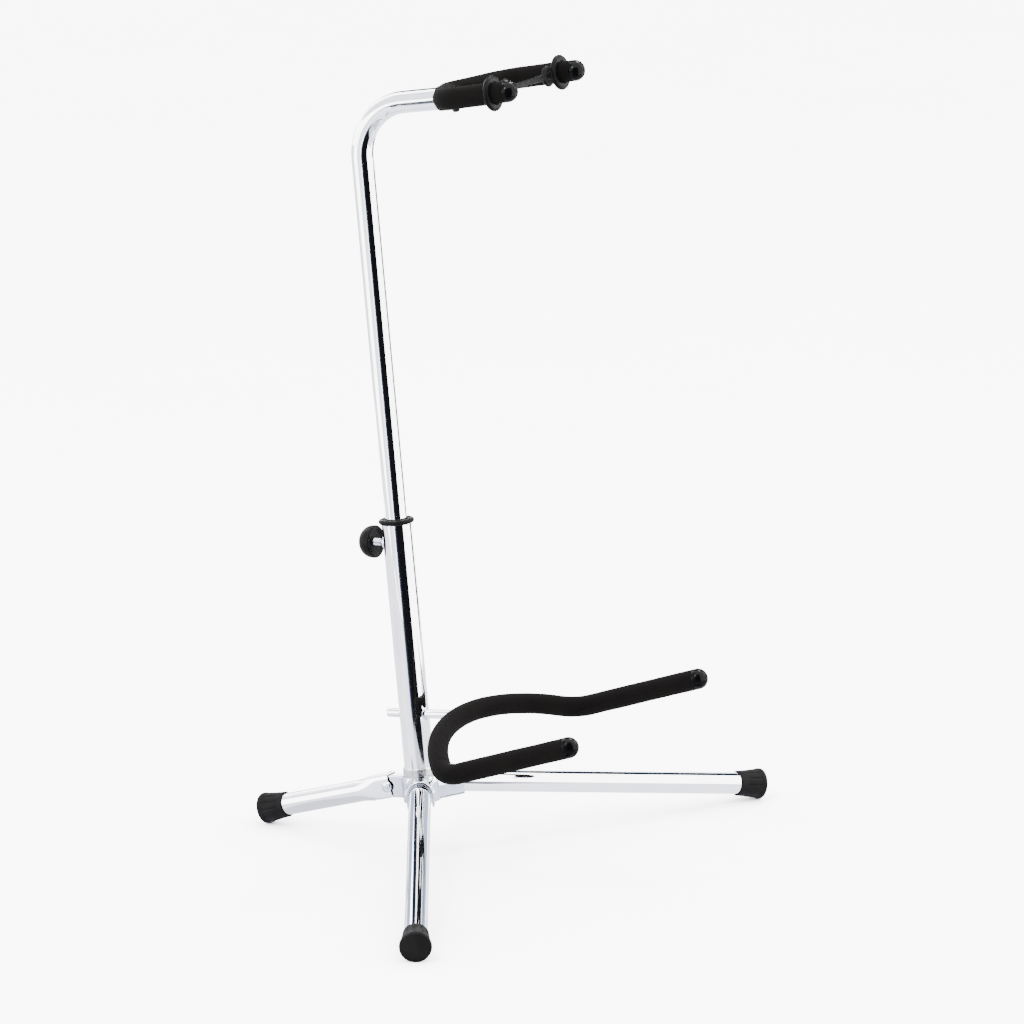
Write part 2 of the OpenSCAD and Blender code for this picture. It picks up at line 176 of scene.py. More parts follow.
def lathe(name, profile, place, sides=96, closed=False, shape=None, sharp=40):
    """Turns a profile of (radius, height) about place's Z. A closed profile makes a ring.

    shape(r, z, angle) may return another radius for a point.
    """
    verts = []
    for r, z in profile:
        for k in range(sides):
            a = 2 * math.pi * k / sides
            rr = shape(r, z, a) if shape else r
            verts.append(place @ Vector((rr * math.cos(a), rr * math.sin(a), z)))
    faces = grid_faces(len(profile), sides, closed)
    if not closed:
        ends = zip(end_faces(len(profile), sides), (profile[0], profile[-1]))
        faces += [face for face, (radius, _) in ends if radius > 0]
    return make(name, verts, faces, sharp)


def arc(cx, cz, r, start, end, steps=8):
    """Points (radius, height) of an arc, for a profile, from start to end in degrees."""
    turns = [math.radians(start + (end - start) * i / steps) for i in range(steps + 1)]
    return [(cx + r * math.cos(t), cz + r * math.sin(t)) for t in turns]


class Path:
    """A bar's centre line, laid out in straight runs and bends."""

    def __init__(self, start, heading, step=2.0):
        self.points = [Vector(start)]
        self.heading = Vector(heading).normalized()
        self.step = step

    def run(self, length):
        start, n = self.points[-1], max(1, round(length / self.step))
        self.points += [start + self.heading * length * (i + 1) / n for i in range(n)]
        return self

    def bend(self, radius, degrees, toward):
        inward = Vector(toward)
        inward = (inward - inward.dot(self.heading) * self.heading).normalized()
        start, heading, angle = self.points[-1], self.heading, math.radians(degrees)
        n = max(6, round(radius * angle / self.step * 1.5))
        for i in range(1, n + 1):
            t = angle * i / n
            self.points.append(start + heading * radius * math.sin(t) + inward * radius * (1 - math.cos(t)))
        self.heading = heading * math.cos(angle) + inward * math.sin(angle)
        return self


def both_sides(points):
    """A path from the middle out, joined to its mirror image."""
    return [Vector((-p.x, p.y, p.z)) for p in reversed(points[1:])] + points


def rings_along(points):
    """Arc length, tangent, two side directions and curvature at each point, without twist."""
    p = np.array([tuple(q) for q in points])
    steps = np.linalg.norm(np.diff(p, axis=0), axis=1)
    s = np.concatenate([[0], np.cumsum(steps)])
    t = np.gradient(p, s, axis=0)
    t /= np.linalg.norm(t, axis=1)[:, None]
    bend = np.gradient(t, s, axis=0)
    n = np.zeros_like(p)
    first = np.cross(t[0], (0, 0, 1) if abs(t[0][2]) < 0.9 else (1, 0, 0))
    n[0] = first / np.linalg.norm(first)
    for i in range(len(p) - 1):
        v = p[i + 1] - p[i]
        c = v @ v
        r = n[i] - 2 / c * (v @ n[i]) * v
        q = t[i] - 2 / c * (v @ t[i]) * v
        w = t[i + 1] - q
        n[i + 1] = r - 2 / (w @ w) * (w @ r) * w
    return p, s, t, n, np.cross(t, n), bend


def sweep(name, points, place, radius, sides=72, sharp=40):
    """A round bar along points. radius is a number, or a function of the arc length, the path's
    length, the point on the axis, the direction outward and the bend's inward pull there."""
    p, s, _, n, b, bend = rings_along(points)
    verts = []
    for i in range(len(p)):
        for k in range(sides):
            a = 2 * math.pi * k / sides
            out = math.cos(a) * n[i] + math.sin(a) * b[i]
            r = radius(s[i], s[-1], p[i], out, float(out @ bend[i])) if callable(radius) else radius
            verts.append(place @ Vector(p[i] + r * out))
    return make(name, verts, grid_faces(len(p), sides) + end_faces(len(p), sides), sharp)


def applied(obj):
    """Fixes the object's modifiers into its mesh."""
    bpy.context.view_layer.update()
    graph = bpy.context.evaluated_depsgraph_get()
    mesh = bpy.data.meshes.new_from_object(obj.evaluated_get(graph))
    old = obj.data
    obj.modifiers.clear()
    obj.data = mesh
    bpy.data.meshes.remove(old)
    return obj


def cut(obj, *cutters):
    for c in cutters:
        m = obj.modifiers.new("cut", "BOOLEAN")
        m.operation, m.solver, m.object = "DIFFERENCE", "EXACT", c
    applied(obj)
    for c in cutters:
        bpy.data.objects.remove(c)
    return obj


def joined(name, *parts):
    """One object from several, each still a closed shell of its own."""
    bm = bmesh.new()
    for p in parts:
        bm.from_mesh(p.data)
        bpy.data.objects.remove(p)
    mesh = bpy.data.meshes.new(name)
    bm.to_mesh(mesh)
    bm.free()
    obj = bpy.data.objects.new(name, mesh)
    bpy.context.scene.collection.objects.link(obj)
    return obj


def fused(obj, voxel, rounds):
    """Fuses overlapping shells and rounds their edges, as pressing or moulding leaves them."""
    m = obj.modifiers.new("fuse", "REMESH")
    m.mode, m.voxel_size = "VOXEL", voxel * MM
    s = obj.modifiers.new("round", "SMOOTH")
    s.factor, s.iterations = 0.5, rounds
    applied(obj)
    obj.data.shade_smooth()
    return obj


def block(name, low, high, place):
    """A box between two corners, for cutting and fusing."""
    corners = [(x, y, z) for x in (low[0], high[0]) for y in (low[1], high[1]) for z in (low[2], high[2])]
    faces = [(0, 1, 3, 2), (4, 6, 7, 5), (0, 4, 5, 1), (2, 3, 7, 6), (0, 2, 6, 4), (1, 5, 7, 3)]
    return make(name, [place @ Vector(c) for c in corners], faces, 30)


def ripple(point, size):
    """Smooth noise from -1 to 1 whose lumps are about size millimetres across."""
    return noise.noise(Vector(point) / size)


# ---------- materials ----------

def new_material(name):
    """A material, its shader, and functions that add a node and link two sockets."""
    mat = bpy.data.materials.new(name)
    mat.use_nodes = True
    tree = mat.node_tree
    shader = tree.nodes["Principled BSDF"]

    def add(kind, **settings):
        node = tree.nodes.new(kind)
        for key, value in settings.items():
            if key in node.inputs:
                node.inputs[key].default_value = value
            else:
                setattr(node, key, value)
        return node

    return mat, shader, add, tree.links.new


def object_noise(add, link, scale, detail=4, stretch=None):
    """Noise in the object's own coordinates, scale per metre, maybe stretched along an axis."""
    coords = add("ShaderNodeTexCoord")
    out = coords.outputs["Object"]
    if stretch:
        mapping = add("ShaderNodeMapping")
        mapping.inputs["Scale"].default_value = stretch
        link(out, mapping.inputs["Vector"])
        out = mapping.outputs["Vector"]
    tex = add("ShaderNodeTexNoise", Scale=scale, Detail=detail, Roughness=0.6)
    link(out, tex.inputs["Vector"])
    return tex.outputs["Fac"]


def spread(add, link, fac, low, high, start=0.35, end=0.65):
    """Maps a noise value to a range of numbers."""
    m = add("ShaderNodeMapRange")
    for key, value in (("From Min", start), ("From Max", end), ("To Min", low), ("To Max", high)):
        m.inputs[key].default_value = value
    link(fac, m.inputs["Value"])
    return m.outputs["Result"]


def two_tone(add, link, fac, dark, light, low=0.3, high=0.7):
    ramp = add("ShaderNodeValToRGB")
    ramp.color_ramp.elements[0].position = low
    ramp.color_ramp.elements[1].position = high
    ramp.color_ramp.elements[0].color = (*dark, 1)
    ramp.color_ramp.elements[1].color = (*light, 1)
    link(fac, ramp.inputs["Fac"])
    return ramp.outputs["Color"]


def bump(add, link, shader, height, strength, distance):
    node = add("ShaderNodeBump", Strength=strength, Distance=distance * MM)
    link(height, node.inputs["Height"])
    link(node.outputs["Normal"], shader.inputs["Normal"])


def plated(name, dark, light, rough, orange_peel):
    """Bright plating: a little uneven in tone, faintly smudged, with the steel's soft ripple."""
    mat, shader, add, link = new_material(name)
    shader.inputs["Metallic"].default_value = 1
    smudge = object_noise(add, link, 55, 6)
    link(two_tone(add, link, smudge, dark, light), shader.inputs["Base Color"])
    link(spread(add, link, object_noise(add, link, 210, 8), *rough), shader.inputs["Roughness"])
    bump(add, link, shader, object_noise(add, link, 90, 2), orange_peel, 0.05)
    return mat


def turned(name, dark, light, rough):
    """Satin metal with fine turning lines round the post."""
    mat, shader, add, link = new_material(name)
    shader.inputs["Metallic"].default_value = 1
    lines = object_noise(add, link, 1400, 3, (0.02, 0.02, 1))
    link(two_tone(add, link, object_noise(add, link, 80, 4), dark, light), shader.inputs["Base Color"])
    link(spread(add, link, lines, *rough), shader.inputs["Roughness"])
    bump(add, link, shader, lines, 0.25, 0.03)
    return mat


def cell_foam():
    """Closed-cell foam: brownish black, matte, with fine cells and a faint bloom."""
    mat, shader, add, link = new_material("cell_foam")
    shader.inputs["Specular IOR Level"].default_value = 0.02
    shader.inputs["Sheen Weight"].default_value = 0.003
    shader.inputs["Sheen Roughness"].default_value = 0.6
    patches = object_noise(add, link, 38, 6)
    link(two_tone(add, link, patches, (0.0007, 0.0005, 0.0005), (0.0014, 0.0011, 0.0010)),
         shader.inputs["Base Color"])
    link(spread(add, link, patches, 0.78, 0.95), shader.inputs["Roughness"])
    coords = add("ShaderNodeTexCoord")
    cells = add("ShaderNodeTexVoronoi", Scale=1500.0)
    link(coords.outputs["Object"], cells.inputs["Vector"])
    bump(add, link, shader, cells.outputs["Distance"], 0.35, 0.12)
    return mat


def moulded(name, dark, light, rough, specular, grain, depth, coat=0.0):
    """Moulded rubber, vinyl or plastic: a fine mould grain over slightly uneven colour."""
    mat, shader, add, link = new_material(name)
    shader.inputs["Specular IOR Level"].default_value = specular
    if coat:
        shader.inputs["Coat Weight"].default_value = coat
        shader.inputs["Coat Roughness"].default_value = 0.06
    link(two_tone(add, link, object_noise(add, link, 70, 5), dark, light), shader.inputs["Base Color"])
    link(spread(add, link, object_noise(add, link, 260, 5), *rough), shader.inputs["Roughness"])
    bump(add, link, shader, object_noise(add, link, grain, 4), depth, 0.08)
    return mat


CHROME = plated("bright_chrome", (0.80, 0.81, 0.84), (0.90, 0.905, 0.92), (0.022, 0.06), 0.035)
# The pressed pieces' darker, blue-grey base colour is a painted reflection: it stands in for dark and blue
# surroundings mirrored in the hub, rivets, nut and pin lips. The noise tone between its two colours is real.
PRESSED_PAINTED_REFLECTION = plated("pressed_chrome_painted_reflection", (0.46, 0.50, 0.58), (0.66, 0.69, 0.75), (0.03, 0.075), 0.09)
ZINC = plated("zinc_plate", (0.60, 0.66, 0.74), (0.80, 0.83, 0.87), (0.12, 0.24), 0.15)
COLLAR = turned("satin_collar", (0.40, 0.40, 0.41), (0.56, 0.56, 0.56), (0.16, 0.34))
FOAM = cell_foam()
VINYL = moulded("dipped_vinyl", (0.0004, 0.0004, 0.0005), (0.0007, 0.0007, 0.0008),
                (0.10, 0.2), 0.035, 500, 0.04, coat=0.02)
FOOT_RUBBER = moulded("foot_rubber", (0.0016, 0.0015, 0.0016), (0.0030, 0.0028, 0.0030),
                      (0.5, 0.68), 0.035, 1100, 0.3)
RING_RUBBER = moulded("ring_rubber", (0.0009, 0.0009, 0.0010), (0.0017, 0.0017, 0.0018),
                      (0.35, 0.55), 0.03, 700, 0.3)
STRAP_RUBBER = moulded("strap_rubber", (0.0008, 0.0008, 0.0009), (0.0014, 0.0014, 0.0015),
                       (0.36, 0.52), 0.03, 900, 0.15)
KNOB = moulded("knob_plastic", (0.0008, 0.0007, 0.0007), (0.0014, 0.0012, 0.0012),
               (0.34, 0.5), 0.04, 1300, 0.2)
BLACK = moulded("black_plastic", (0.0016, 0.0016, 0.0017), (0.0028, 0.0028, 0.003),
                (0.4, 0.55), 0.08, 1200, 0.25)
NYLON = moulded("natural_nylon", (0.66, 0.65, 0.61), (0.74, 0.73, 0.70),
                (0.35, 0.5), 0.4, 900, 0.15)


def dressed(obj, material, body, slot, *nodes):
    """Gives a piece its finish and the body it rides on, and hides the CAD nodes that it stands for."""
    obj.data.materials.clear()
    obj.data.materials.append(material)
    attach(obj, body)
    if nodes:
        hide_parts(*nodes)


# ---------- base ----------

def post():
    """The lower post, a tube with its edges just broken."""
    edge = 0.3
    section = [(BORE_R, POST_TOP), (BORE_R, POST_LOW), (POST_R - edge, POST_LOW), (POST_R, edge + POST_LOW)]
    section += [(POST_R, POST_TOP - edge), (POST_R - edge, POST_TOP)]
    tube = lathe("lower_post", section, POST, 128, closed=True, sharp=30)
    dressed(tube, CHROME, "base", "chrome_tube", "post_tube")


def collar():
    """The ring over the hub, with a rounded top and two turned lines."""
    round_r, groove, groove_half = 0.8, 0.3, 0.25
    section = [(POST_R, 0), (COLLAR_R - 0.2, 0), (COLLAR_R, 0.3)]
    for line in (1.6, 5.6):
        section += [(COLLAR_R, line - groove_half), (COLLAR_R - groove, line), (COLLAR_R, line + groove_half)]
    section += arc(COLLAR_R - round_r, COLLAR_H - round_r, round_r, 0, 90, 6) + [(POST_R, COLLAR_H)]
    ring = lathe("base_ring", section, POST @ move(0, 0, COLLAR_Z), 128, closed=True)
    dressed(ring, COLLAR, "base", "zinc_steel", "base_collar")


def arch_prism(name, radius, depth, start, end, place):
    """A channel's solid: a round-topped section, square below, laid along X."""
    steps = 28
    outline = [(-depth, -radius), (0, -radius)]
    outline += [(radius * math.sin(t), -radius * math.cos(t))
                for t in (math.pi * i / steps for i in range(1, steps))]
    outline += [(0, radius), (-depth, radius)]
    verts = [place @ Vector((x, y, z)) for x in (start, end) for z, y in outline]
    n = len(outline)
    faces = [tuple(range(n)), tuple(range(2 * n - 1, n - 1, -1))]
    faces += [(i, i + n, (i + 1) % n + n, (i + 1) % n) for i in range(n)]
    return make(name, verts, faces, 30)


def hub():
    """The pressed bracket: two channels and a rear tongue drawn out of one cup."""
    front, well_past = ("left", "right"), 40
    cup = [(0, HUB_FLOOR), (HUB_R, HUB_FLOOR), (HUB_R, 5.5), (HUB_R - 1.6, COLLAR_Z), (0, COLLAR_Z)]
    parts = [lathe("cup", cup, POST, 96)]
    inner, reach = 10 - PIVOT_R, CHANNEL_REACH - PIVOT_R
    for side in front:
        parts.append(arch_prism("channel", CHANNEL_R, -CHANNEL_FLOOR, inner, reach, HUB_ARM[side]))
    across = HUB_ARM["rear"] @ move(0, TONGUE_HALF, 0) @ turn("X", 90)
    tongue = [(0, 0), (TONGUE_R, 0), (TONGUE_R, 2 * TONGUE_HALF), (0, 2 * TONGUE_HALF)]
    parts.append(lathe("tongue", tongue, across, 64))
    low, high = (inner, -TONGUE_HALF, -TONGUE_R), (0, TONGUE_HALF, TONGUE_R)
    parts.append(block("root", low, high, HUB_ARM["rear"]))
    body = fused(joined("hub_pressing", *parts), 0.55, 7)
    cutters = []
    for side in front:
        cutters.append(arch_prism("slot", LEG_SLOT, well_past, -LEG_SLOT - 0.4, well_past, LEG[side]))
        nose = HUB_ARM[side] @ move(reach, 0, -4) @ turn("Y", 45)
        cutters.append(block("nose", (0, -30, 0), (60, 30, 60), nose))
    bore_r = POST_R - 0.3
    bore = [(0, -well_past), (bore_r, -well_past), (bore_r, well_past), (0, well_past)]
    cutters.append(lathe("bore", bore, POST, 96))
    cut(body, *cutters)
    fused(body, 0.42, 3)
    dressed(body, PRESSED_PAINTED_REFLECTION, "base", "chrome_bracket", "hub_bracket")


def ring():
    """The rubber ring on the post's rim: a fat bead with a shallow groove inside its lip."""
    bead_r, bead_at = 2.1, 13.2
    section = [(MAST_R + 0.3, 0.1), (bead_at - 0.3, 0.1)] + arc(bead_at, bead_r, bead_r, -80, 100, 16)
    section += [(11.9, 3.75), (11.3, 3.35), (10.7, 3.75)]
    section += arc(MAST_R + 0.9, 3.3, 0.55, 90, 180, 5)

    def squashed(r, z, a):
        return r + (0.18 * ripple((30 * math.cos(a), 30 * math.sin(a), z), 9) - 0.12 if r > 12 else 0)

    bead = lathe("rim_bead", section, POST @ move(0, 0, POST_TOP), 128, closed=True, shape=squashed)
    dressed(bead, RING_RUBBER, "base", "ring_rubber", "rim_ring")


def boss():
    """The flared nut welded to the back of the post for the clamp screw."""
    bore, face, end = SCREW_R + 0.06, 9, 15.2
    section = [(bore, face), (6.2, face), (6.4, 10.4), (6.2, 12.9), (5.4, 13.6), (5, 14.2)]
    section += [(4.9, 14.9), (4.5, end), (3.3, end), (bore, end - 0.2)]
    nut = lathe("weld_nut", section, POST @ move(0, 0, CLAMP_H) @ turn("X", -90), 64, closed=True)
    dressed(nut, PRESSED_PAINTED_REFLECTION, "base", "zinc_steel", "clamp_boss")


def rivet(side, half):
    """A rivet across one arm of the hub, with a low dome at each end."""
    steps = (RIVET_HEAD_R, 4.75, 4.4, 3.8, 3, 2, 1, 0)
    dome = [(r, half + RIVET_HEAD * math.sqrt(max(0, 1 - (r / RIVET_HEAD_R) ** 2))) for r in steps]
    low = [(r, -z) for r, z in reversed(dome)]
    shank = [(RIVET_HEAD_R, -half), (RIVET_R, -half), (RIVET_R, half), (RIVET_HEAD_R, half)]
    pin = lathe(f"{side}_rivet", low + shank + dome, HUB_ARM[side] @ turn("X", 90), 48)
    dressed(pin, PRESSED_PAINTED_REFLECTION, "base", "zinc_steel", f"rivet_{side}")


# ---------- legs and feet ----------

def foot_end(side):
    """Distance of a foot's end from its pivot, from the CAD leg's far end inside it."""
    low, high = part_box(f"leg_{side}")
    out = LEG[side].to_3x3() @ X
    corner = Vector((high.x if out.x > 0 else low.x, high.y if out.y > 0 else low.y, low.z)) / MM
    rim = Vector((math.sqrt(1 - out.x ** 2), math.sqrt(1 - out.y ** 2), math.sqrt(1 - out.z ** 2))) * LEG_R
    span = [(corner[i] - LEG[side].translation[i] - math.copysign(rim[i], out[i])) / out[i]
            for i in (0, 1, 2) if abs(out[i]) > 0.5]
    return sum(span) / len(span) + FOOT_FLOOR


def front_leg(side, length):
    """A straight leg: a tube with a domed end in its channel."""
    section = [(r * LEG_R, z * LEG_R) for r, z in arc(0, 0, 1, -90, 0, 16)]
    section = [(max(r, 0), z) for r, z in section] + [(LEG_R, length * k / 12) for k in range(1, 13)]
    tube = lathe(f"{side}_leg_tube", section, LEG[side] @ turn("Y", 90), 96)
    dressed(tube, CHROME, f"{side}_leg", "chrome_tube", f"leg_{side}")


def rear_leg(length):
    """The short rear leg, pressed tall and narrow at its hub end, with a slot for the tongue."""
    place, sides, verts = LEG["rear"], 96, []
    full, taper, formed = 9, CLEVIS_LEN - 7, 45
    stations = [-CLEVIS_IN, -CLEVIS_IN + 0.4] + list(range(formed + 1)) + [length * 0.6, length]

    def pressed(x):
        """How far the section is pressed, 1 at the hub end and 0 on the plain tube."""
        u = min(1, max(0, (x - full) / taper))
        return 1 - u * u * (3 - 2 * u) if x <= formed else 0.0

    for i, x in enumerate(stations):
        w = pressed(x)
        half_h = LEG_R + (CLEVIS_HALF_H - LEG_R) * w
        half_w = LEG_R + (CLEVIS_HALF_W - LEG_R) * w
        power = 1 - 0.52 * w
        shrink = 0.96 if i == 0 else 1
        for k in range(sides):
            a = 2 * math.pi * k / sides
            c, s = math.cos(a), math.sin(a)
            y = math.copysign(abs(c) ** power, c) * half_w * shrink
            z = math.copysign(abs(s) ** power, s) * half_h * shrink
            verts.append(place @ Vector((x, y, z)))
    rows = len(stations)
    tube = make("rear_leg_tube", verts, grid_faces(rows, sides) + end_faces(rows, sides), 30)
    gap, slot_end, well_past = 0.3, 16, -20
    low = (well_past, -TONGUE_HALF - gap, well_past)
    cut(tube, block("slot", low, (slot_end, TONGUE_HALF + gap, TONGUE_R + gap), place))
    smooth(tube, 30)
    dressed(tube, CHROME, "rear_leg", "chrome_tube", "leg_rear")


def leg_pit():
    """A tiny drilled hole in the rear leg: a shallow cup painted black all over as painted shade for the
    hole's inside, its floor just below a thin bright rim.
    """
    r = 0.7
    place = LEG["rear"] @ move(18, CLEVIS_HALF_W + 0.35, -1.5) @ turn("X", -90)
    section = [(r + 0.3, -0.06), (r + 0.12, 0.05), (r, 0.03), (r * 0.8, -0.25), (0, -0.3)]
    hole = lathe("leg_pit", section, place, 24)
    # The black here is painted shade: it stands in for the dark inside of a drilled hole.
    dressed(hole, BLACK, "rear_leg", "black_plastic")


def foot(side, end):
    """A flared rubber foot with shallow grooves, a thin lip and a low domed end."""
    rim, lip = 2.2, FOOT_LEN - 6
    waist_r, waist, flare = 11.1, 2.2, 1.9
    section = [(LEG_R + 0.05, 1.2), (LEG_R + 0.15, 0.1), (10.6, 0), (11.0, 0.35), (11.05, 1.1)]
    section += [(waist_r, waist)]
    section += [(waist_r + flare * ((z - waist) / (lip - waist)) ** 1.2, z) for z in range(4, lip + 1, 2)]
    section += [(FOOT_R - 0.1, lip + 0.5), (FOOT_R, lip + 1)]
    section += arc(FOOT_R - rim, FOOT_LEN - 1.3 - rim, rim, 0, 72, 9)
    tip = section[-1]
    section += [(tip[0] - 0.35, tip[1] - 0.15), (tip[0] - 0.8, tip[1] + 0.1)]
    section += [(r, tip[1] + 1.1 * (1 - (r / tip[0]) ** 2)) for r in (10, 8, 6, 4, 2, 0)]
    grooves, width, depth = 12, 0.07, 0.75
    first, last = 4, lip + 0.9

    def grooved(r, z, a):
        if z < first or z > last:
            return r
        fade = min(1, (z - first) / 4) * min(1, (last - z) / 1.2)
        away = abs((a * grooves / (2 * math.pi) + 0.5) % 1 - 0.5) * 2 * math.pi / grooves
        return r - depth * fade * math.exp(-(away / width) ** 2)

    place = LEG[side] @ move(end - FOOT_LEN, 0, 0) @ turn("Y", 90)
    shoe = lathe(f"{side}_foot", section, place, 192, shape=grooved, sharp=50)
    for v in shoe.data.vertices:
        v.co.z = max(v.co.z, 0.0)
    dressed(shoe, FOOT_RUBBER, f"{side}_leg", "foot_rubber", f"foot_{side}")


# ---------- clamp ----------

def clamp_thread():
    """The clamp screw's shank: its radius follows the helix round and along."""
    place = POST @ move(0, 0, CLAMP_H) @ turn("X", -90)
    start, end = MAST_R + SCREW_FROM, KNOB_FACE + SCREW_IN_KNOB
    depth, per_turn, sides = 0.55, 10, 48
    rows = int((end - start) / SCREW_PITCH * per_turn) + 1
    verts = []
    for i in range(rows):
        z = start + (end - start) * i / (rows - 1)
        for k in range(sides):
            a = 2 * math.pi * k / sides
            phase = (z / SCREW_PITCH - k / sides) % 1
            r = SCREW_R - depth * min(1, abs(phase * 2 - 1) * 1.25)
            verts.append(place @ Vector((r * math.cos(a), r * math.sin(a), z)))
    screw = make("clamp_thread", verts, grid_faces(rows, sides) + end_faces(rows, sides), 35)
    dressed(screw, ZINC, "knob", "zinc_steel", "clamp_screw")


def knob():
    """The round clamp knob: a smooth dome over a shallow dished face with a boss at its middle."""
    r, bore = KNOB_R, SCREW_R + 0.02
    section = [(bore, 2.4), (bore, 1.5), (5.2, 1.5), (5.6, 1.8), (6.2, 2.0), (r - 3.4, 1.2), (r - 2.4, 0.3)]
    section += [(r - 1.6, 0)] + arc(r - 1, 1, 1, -90, 0, 6) + [(r, KNOB_RIM)]
    turns = [math.radians(5 * i) for i in range(1, 18)]
    section += [(r * math.cos(t), KNOB_RIM + KNOB_DOME * math.sin(t)) for t in turns]
    section += [(0, KNOB_RIM + KNOB_DOME)]
    top = lathe("knob_dome", section, POST @ move(0, KNOB_FACE, CLAMP_H) @ turn("X", -90), 96)
    dressed(top, KNOB, "knob", "knob_plastic", "clamp_knob")


# ---------- mast and yoke ----------

def mast():
    """The sliding mast, bent forward at the top, a little oval through the bend."""
    line = Path((0, 0, MAST_LOW), Z, 12)
    line.run(MAST_TOP - MAST_LOW)
    line.step = 1.6
    line.bend(NECK_BEND, 90 - ARM_RISE, -Y)
    line.step = 12
    line.run(arm_len)

    def oval(_s, _total, _p, _out, pull):
        return MAST_R - 0.10 * abs(pull) * NECK_BEND

    tube = sweep("mast_pipe", line.points, HEAD, oval, 96)
    dressed(tube, CHROME, "mast", "chrome_tube", "mast_tube")


def foam(radius, edge, lump, fold):
    """Radius rule of a foam sleeve: rounded ends, soft lumps, and folds inside tight bends."""
    def rule(s, total, p, out, pull):
        end = min(s, total - s)
        r = radius
        if end < edge:
            r -= edge - math.sqrt(max(0, edge ** 2 - (edge - end) ** 2))
        tight = max(0.0, pull * radius)
        crease = fold * tight * (0.5 + 0.5 * math.sin(2 * math.pi * s / 8.5))
        at = Vector(p + out * radius)
        return r - crease - lump * (0.6 + ripple(at, 21)) - 0.35 * lump * (1 + ripple(at, 5))
    return rule


def ends_dense(points, edge):
    """Adds points close to both ends of a path, for the rounding there."""
    def near(a, b):
        d = (b - a).normalized()
        return [a + d * edge * t for t in (0, 0.06, 0.18, 0.35, 0.6, 1)]

    def clear_of(end, p):
        return (p - end).length > edge * 1.3

    keep = [p for p in points[1:-1] if clear_of(points[0], p) and clear_of(points[-1], p)]
    return near(points[0], points[1]) + keep + list(reversed(near(points[-1], points[-2])))


def yoke_line(front):
    """The yoke's path from its root out to one side and forward, with the root's kink eased."""
    ease = 14
    sweep_angle = math.radians(YOKE_SWEEP)
    back = YOKE_HALF / math.cos(sweep_angle) - YOKE_BEND * math.tan(math.radians(90 - YOKE_SWEEP) / 2)
    line = Path((0, ease / math.cos(sweep_angle) - ease, 0), X, 0.9)
    line.bend(ease, YOKE_SWEEP, Y)
    line.run(back - ease * math.tan(sweep_angle))
    line.bend(YOKE_BEND, 90 - YOKE_SWEEP, Y)
    return line.run(front - line.points[-1].y)


def sleeve(name, points, place, shape, edge, body, node):
    """A foam sleeve along points, with the given radius rule."""
    tube = sweep(name, ends_dense(points, edge), place, shape, 64)
    dressed(tube, FOAM, body, "foam", node)


def yoke_sleeve():
    """The foam on the yoke, from one of the strap's discs round the root to the other."""
    edge = 1.2
    line = both_sides(yoke_line(strap_y - DISC_T / 2 - SLEEVE_GAP).points)
    sleeve("yoke_sleeve", line, YOKE, foam(YOKE_FOAM_R, edge, 0.16, 0.9), edge, "mast", "yoke_foam")


def tip_sleeve(side, sign):
    """The short end of the foam in front of the strap's disc."""
    edge, start = 0.8, strap_y - DISC_T / 2 - SLEEVE_GAP
    line = Path((sign * YOKE_HALF, start, 0), Y, 0.9).run(tip_y - start).points
    shape = foam(TIP_FOAM_R, edge, 0.1, 0)
    sleeve(f"tip_sleeve_{side}", line, YOKE, shape, edge, "mast", f"yoke_tip_foam_{side}")


def cap(name, place, radius, body, node):
    """A dipped vinyl cap: a short skirt with a rolled edge, and a dome with a faint nipple."""
    skirt, roll = 1.5, 0.45
    side_r, top = radius - 0.05, skirt + radius
    section = [(radius - 1.1, 0.15), (radius - 0.5, 0)] + arc(radius - roll, roll, roll, -80, 0, 5)
    section += [(side_r, skirt)]
    turns = [math.radians(4.5 * i) for i in range(1, 19)]
    section += [(side_r * math.cos(t), skirt + (radius - 0.35) * math.sin(t)) for t in turns]
    section += [(1.3, top - 0.3), (0.9, top - 0.02), (0, top)]
    dressed(lathe(name, section, place, 96, sharp=60), VINYL, body, "cap_vinyl", node)


def on_arm(reach):
    """The point of the mast's straight arm that far forward, in the head's frame."""
    return Vector((0, -reach, arm_start_z + (reach - arm_start_y) * arm_slope))


def socket():
    """The soft sleeve over the mast's end, under the yoke's root."""
    tilt = HEAD.to_3x3() @ turn("X", 90 - ARM_RISE).to_3x3()
    along = axes(HEAD @ on_arm(SOCKET_FROM), tilt @ X, tilt @ Y, tilt @ Z)
    length, r = (ARM_REACH - SOCKET_FROM) / math.cos(math.radians(ARM_RISE)) + 1.5, MAST_R + 1.05
    section = [(MAST_R - 0.3, 0.3)] + arc(r - 0.6, 0.6, 0.6, -90, 0, 5)
    section += arc(r - 2.5, length - 2.5, 2.5, 0, 80, 8) + [(3, length), (0, length)]
    dressed(lathe("arm_socket", section, along, 96), FOAM, "mast", "black_plastic", "yoke_socket")


def nub():
    """The little screw head under the yoke's root."""
    at = HEAD @ move(*on_arm(NUB_AT)) @ turn("X", 180 - ARM_RISE)
    outline = ((3.1, 0), (3.1, 1.5), (2.9, 2.2), (2.3, 2.8), (1.2, 3.15), (0, 3.25))
    head = lathe("socket_screw", [(r, MAST_R + z) for r, z in outline], at, 40, sharp=60)
    dressed(head, BLACK, "mast", "black_plastic", "yoke_screw")


def strap_disc(place):
    """A disc with a full round edge, on the arm's foam."""
    r, half, hole, chamfer = DISC_R - 0.05, DISC_T / 2, YOKE_FOAM_R + 0.05, 0.4
    section = [(hole, 0.35), (hole + chamfer, 0.05)] + arc(r - half, half, half - 0.05, -85, 85, 14)
    section += [(hole + chamfer, DISC_T - 0.05), (hole, DISC_T - 0.35)]
    return lathe("disc", section, place, 96, closed=True)


